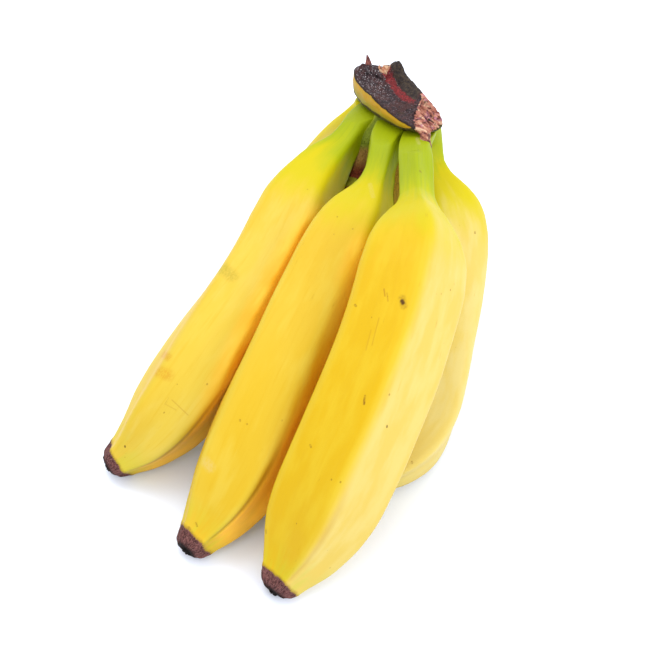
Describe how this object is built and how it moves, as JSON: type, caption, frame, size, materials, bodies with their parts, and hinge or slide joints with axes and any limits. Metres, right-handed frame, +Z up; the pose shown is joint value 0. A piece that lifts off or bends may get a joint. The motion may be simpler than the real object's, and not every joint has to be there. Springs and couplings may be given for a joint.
{
  "type": "banana",
  "caption": "Bunch of ripe yellow bananas grown together at a dark cut crown, standing on its front tips and the bellies of the rear fruit.",
  "frame": {"origin": "on the ground, under the middle of the bunch's bounding box", "axes": "+Y from the tips towards the crown, +X to the right when looking from the tips to the crown, +Z up"},
  "size_m": [0.1275, 0.2182, 0.0998],
  "materials": {
    "peel": "satin yellow banana peel, greener at the stalks, with brown-purple dried tips",
    "crown_tissue": "rough, dried, nearly black cut tissue"
  },
  "bodies": {
    "root": {"banana_front_left": "peel", "banana_front_middle": "peel", "banana_front_right": "peel", "banana_rear_left": "peel", "banana_rear_right": "peel", "crown": "crown_tissue"}
  },
  "joints": []
}
